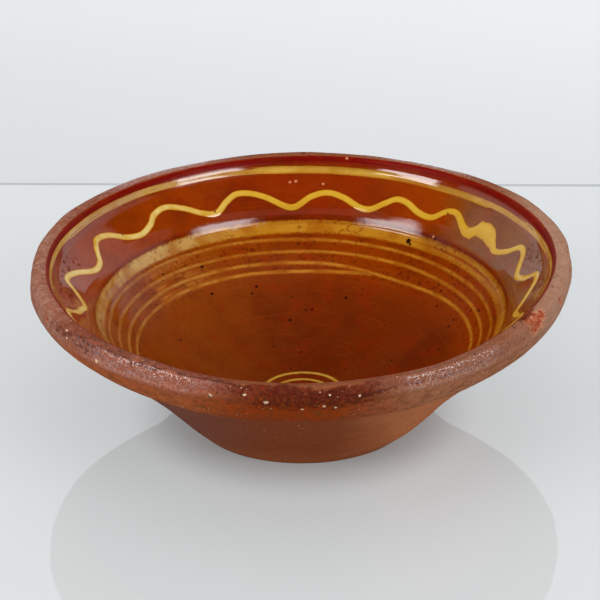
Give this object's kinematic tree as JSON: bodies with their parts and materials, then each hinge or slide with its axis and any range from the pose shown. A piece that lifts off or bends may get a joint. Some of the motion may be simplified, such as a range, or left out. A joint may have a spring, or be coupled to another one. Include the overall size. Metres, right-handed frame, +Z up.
{
  "type": "slop bowl",
  "caption": "Wide round redware bowl with a folded rim, flat base, glazed inside and trailed slip bands, rings and a wavy line.",
  "frame": {"origin": "middle of the flat base, on the surface that the bowl stands on", "axes": "+Z up along the axis the bowl was thrown on; +X to the right and +Y to the back when the overlapped ends of the wavy line lie at the right and towards the back"},
  "size_m": [0.28, 0.28, 0.092],
  "materials": {
    "red_clay": "unglazed fired red clay, matt, with throwing lines",
    "lead_glaze": "clear amber glaze over red clay, glossy",
    "yellow_slip": "thick pale slip under glaze, glossy yellow",
    "amber_slip": "thin pale slip under glaze, glossy amber"
  },
  "bodies": {
    "root": {"clay_body": "red_clay", "glaze_coat": "lead_glaze", "rim_band_trail": "yellow_slip", "wave_trail": "yellow_slip", "shoulder_band_trail_upper": "amber_slip", "shoulder_band_trail_lower": "amber_slip", "wall_line_trail_1": "amber_slip", "wall_line_trail_2": "amber_slip", "wall_line_trail_3": "amber_slip", "wall_line_trail_4": "amber_slip", "centre_ring_trail_outer": "amber_slip", "centre_ring_trail_middle": "amber_slip", "centre_ring_trail_inner": "amber_slip"}
  },
  "joints": []
}
